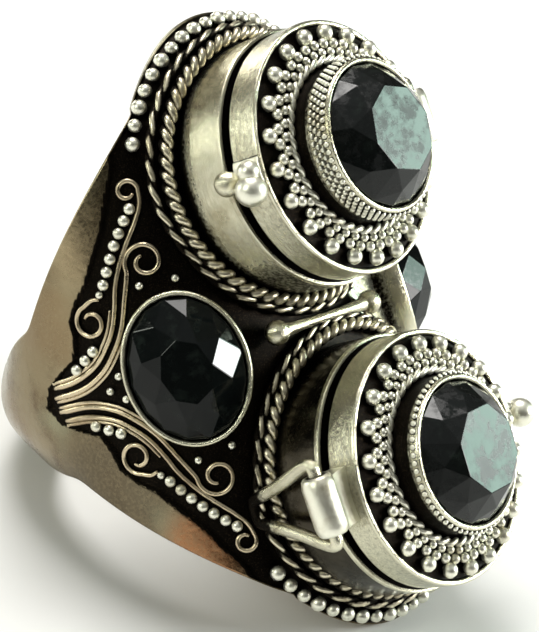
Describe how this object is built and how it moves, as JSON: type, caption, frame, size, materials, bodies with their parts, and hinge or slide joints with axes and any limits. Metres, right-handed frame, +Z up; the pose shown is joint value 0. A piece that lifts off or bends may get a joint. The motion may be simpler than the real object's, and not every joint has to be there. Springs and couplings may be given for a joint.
{
  "type": "poison ring",
  "caption": "Wide saddle ring with hinged lidded lockets side by side along the finger, each lid set with a round stone, and oval stones on the shoulders.",
  "frame": {"origin": "bottom centre of the ring's box as it lies on a table on its lower side", "axes": "+Z up from the table; X across the ring, with -X towards the shoulder that faces the camera; the finger axis lies in the YZ plane and leans up towards +Y"},
  "size_m": [0.0242, 0.0326, 0.0307],
  "materials": {
    "silver": "polished and oxidised silver",
    "onyx": "polished faceted stone"
  },
  "bodies": {
    "ring_body": {"band": "silver", "side_stone_near": "onyx", "side_stone_far": "onyx"},
    "upper_lid_body": {"lid_upper": "silver", "stone_upper": "onyx"},
    "lower_lid_body": {"lid_lower": "silver", "stone_lower": "onyx"}
  },
  "joints": [
    {"name": "upper_lid_hinge", "type": "hinge", "parent": "ring_body", "child": "upper_lid_body", "pos_m": [0.00865, 0.00005, 0.02459], "axis": [0, 0.6159, 0.7878], "range_deg": [0, 110]},
    {"name": "lower_lid_hinge", "type": "hinge", "parent": "ring_body", "child": "lower_lid_body", "pos_m": [-0.0089, -0.0106, 0.01096], "axis": [0, -0.6159, -0.7878], "range_deg": [0, 110]}
  ]
}
